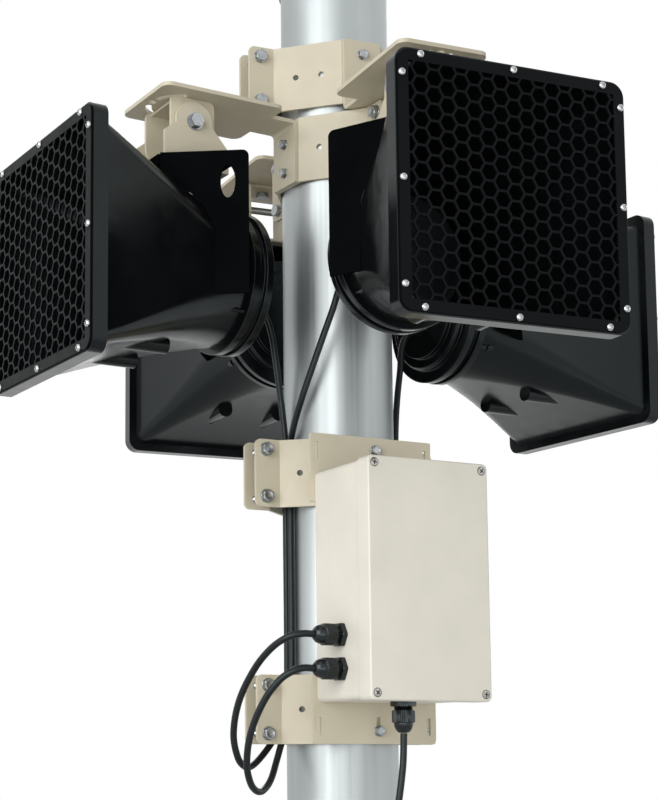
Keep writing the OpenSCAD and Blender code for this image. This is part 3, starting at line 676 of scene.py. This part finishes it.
def brick(form, place, x, y, z0, z1):
    """A box about the Z axis."""
    ring = [(-x, -y), (x, -y), (x, y), (-x, y)]
    form.loft([[(a, b, z0) for a, b in ring], [(a, b, z1) for a, b in ring]], place)


LID_SCREW_IN = 10.5
LID_SCREW_R = 5.6
LID_HEAD = [
    (LID_SCREW_R, 0.0), (LID_SCREW_R, 0.5), (LID_SCREW_R * 0.85, 0.9), (LID_SCREW_R * 0.5, 1.2), (0.2, 1.3),
]
# Painted shade: a black disc a little wider than each lid screw's head stands for the shaded gap of its
# counterbore
SHADE_RING_R = LID_SCREW_R + 0.9
SHADE_RING = [(SHADE_RING_R, -0.3), (SHADE_RING_R, 0.12)]
CROSS_LONG = 3.6
CROSS_WIDE = 0.85
CROSS_FROM = 0.3
CROSS_TOPS = (1.36, 1.37)
CROSS_TURN = 20
CROSS_SPREAD = 31
screws = Form()
painted_shade_recesses = Form()
for y in (-1, 1):
    for z in (-1, 1):
        across = y * (BOX_W / 2 - LID_SCREW_IN)
        up = BOX_Z + BOX_H / 2 + z * (BOX_H / 2 - LID_SCREW_IN)
        place = at(BOX_AZ, BOX_FRONT, across, up) @ OUTWARD
        painted_shade_recesses.lathe(SHADE_RING, place, 40)
        screws.lathe(LID_HEAD, place, 40)
        # Painted shade: two black bricks across each head stand for the shade in its cross recess
        turn = place @ Matrix.Rotation(math.radians(CROSS_TURN + CROSS_SPREAD * y * z), 4, "Z")
        brick(painted_shade_recesses, turn, CROSS_LONG, CROSS_WIDE, CROSS_FROM, CROSS_TOPS[0])
        brick(painted_shade_recesses, turn, CROSS_WIDE, CROSS_LONG, CROSS_FROM, CROSS_TOPS[1])
# The rings and crosses are black rubber solids that carry painted shade
for obj, slot in (
    (screws.build("lid_screws", box_steel), "zinc_steel"),
    (painted_shade_recesses.build("lid_screw_painted_shade", rubber_black), "grommet_rubber"),
):
    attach(obj, "mast")


# Profiles of a gland as radius and height
GLAND_FLATS = 32.0
GLAND_BASE = [(17.6, 0), (18.5, 0.6), (18.5, 6.6), (17.0, 7.6), (13.5, 7.6)]
GLAND_CAP = [(13.2, 12.6), (15.6, 13.0), (16.4, 14.2), (16.4, 28.5), (15.9, 30.0), (13.9, 31.2)]
GLAND_DOME = [
    (13.8, 30.4), (13.9, 32.2), (13.2, 36.2), (11.6, 40.0), (9.4, 42.8), (7.4, 44.4),
    (6.2, GLAND_LEN - 0.2), (5.4, GLAND_LEN - 0.6), (5.2, 41.5),
]
RIDGE_PITCH = 1.2
CAP_HALF_FLATS = 15.2
RIB_PAIRS = 36
RIB_DEPTH = 0.55
RIB_FROM_R = 14


def ribbed(a, r):
    """Limits a cap nut to its six flats and cuts its ribs."""
    off = (a % (math.pi / 3)) - math.pi / 6
    flat = CAP_HALF_FLATS / math.cos(off)
    return min(r, flat) - (RIB_DEPTH if (a * RIB_PAIRS / math.pi) % 2 > 1 and r > RIB_FROM_R else 0.0)


def gland(form, place):
    """Hexagonal base, thread, ribbed cap nut and dome that stand on z = 0."""
    form.hexagon(GLAND_FLATS, GLAND_BASE, place)
    ridges = []
    for i in range(5):
        ridges += [(12.6, 7.4 + i * RIDGE_PITCH), (13.4, 8.0 + i * RIDGE_PITCH)]
    form.lathe(ridges, place, 32)
    form.lathe(GLAND_CAP, place, 144, ribbed)
    form.lathe(GLAND_DOME, place, 40)


glands = Form()
side_wall = BOX_LIP - BOX_W / 2
for height in GLAND_HEIGHTS:
    gland(glands, at(BOX_AZ, GLAND_R, side_wall, BOX_Z + height) @ SIDEWAYS)
gland(glands, at(BOX_AZ, BOTTOM_GLAND_R, 0, BOX_Z + BOX_LIP) @ OVER)
obj = glands.build("cable_glands", nylon_black)
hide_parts("box_glands")
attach(obj, "mast")


# Stage, light and camera

FLOOR_R = 1500.0
FLOOR_BOTTOM = -40
FLOOR_TOP = -2
floor = Form()
floor.lathe([(FLOOR_R, FLOOR_BOTTOM), (FLOOR_R, FLOOR_TOP)], Matrix.Identity(4), 96)
floor_look = bpy.data.materials.new("pale_floor")
floor_look.use_nodes = True
floor_shader = floor_look.node_tree.nodes["Principled BSDF"]
floor_shader.inputs["Base Color"].default_value = (0.9, 0.9, 0.9, 1)
floor_shader.inputs["Roughness"].default_value = 0.8
floor_obj = floor.build("floor", floor_look)

world = bpy.data.worlds.new("studio")
bpy.context.scene.world = world
world.use_nodes = True
tree = world.node_tree
back = tree.nodes["Background"]
back.inputs["Color"].default_value = (1, 1, 1, 1)
rays = tree.nodes.new("ShaderNodeLightPath")
WORLD_LIGHT = 0.36
WORLD_SEEN = 1.0


def added(a, b):
    """The sum of two sockets, at most 1."""
    node = tree.nodes.new("ShaderNodeMath")
    node.operation = "ADD"
    node.use_clamp = True
    tree.links.new(a, node.inputs[0])
    tree.links.new(b, node.inputs[1])
    return node.outputs["Value"]


seen = added(rays.outputs["Is Camera Ray"], rays.outputs["Is Glossy Ray"])
seen = added(seen, rays.outputs["Is Transmission Ray"])
level = tree.nodes.new("ShaderNodeMapRange")
level.inputs["To Min"].default_value = WORLD_LIGHT
level.inputs["To Max"].default_value = WORLD_SEEN
tree.links.new(seen, level.inputs["Value"])
tree.links.new(level.outputs["Result"], back.inputs["Strength"])


def lamp(name, place, target, size, power):
    """A rectangular lamp that faces its target; metres and watts."""
    data = bpy.data.lights.new(name, "AREA")
    data.shape = "RECTANGLE"
    data.size, data.size_y = size
    data.energy = power
    obj = bpy.data.objects.new(name, data)
    bpy.context.scene.collection.objects.link(obj)
    obj.location = place
    obj.rotation_euler = (Vector(target) - Vector(place)).to_track_quat("-Z", "Y").to_euler()


CENTRE = (0, 0, 0.8)
HORNS = (0, 0, 0.9)
lamp("key", (-3.15, -2.0, 1.5), CENTRE, (3.0, 2.8), 106)
lamp("fill", (2.2, -3.0, 1.6), CENTRE, (1.6, 2.6), 6)
lamp("rim", (1.8, 3.2, 2.2), CENTRE, (2.2, 2.2), 45)
lamp("below", (-0.6, -2.2, 0.12), HORNS, (1.8, 0.8), 8)

EYE = (-1.1492, -2.2644, 0.2501)
EYE_UP = 6.845
EYE_TURN = -21.056
camera = bpy.data.cameras.new("camera")
camera.sensor_width = 36.0
camera.lens = 74.642
camera.shift_x = 0.197
camera.shift_y = 0.2
eye = bpy.data.objects.new("camera", camera)
bpy.context.scene.collection.objects.link(eye)
eye.location = EYE
eye.rotation_euler = (math.radians(90 + EYE_UP), 0, math.radians(EYE_TURN))
bpy.context.scene.camera = eye
bpy.context.scene.view_settings.view_transform = "Standard"
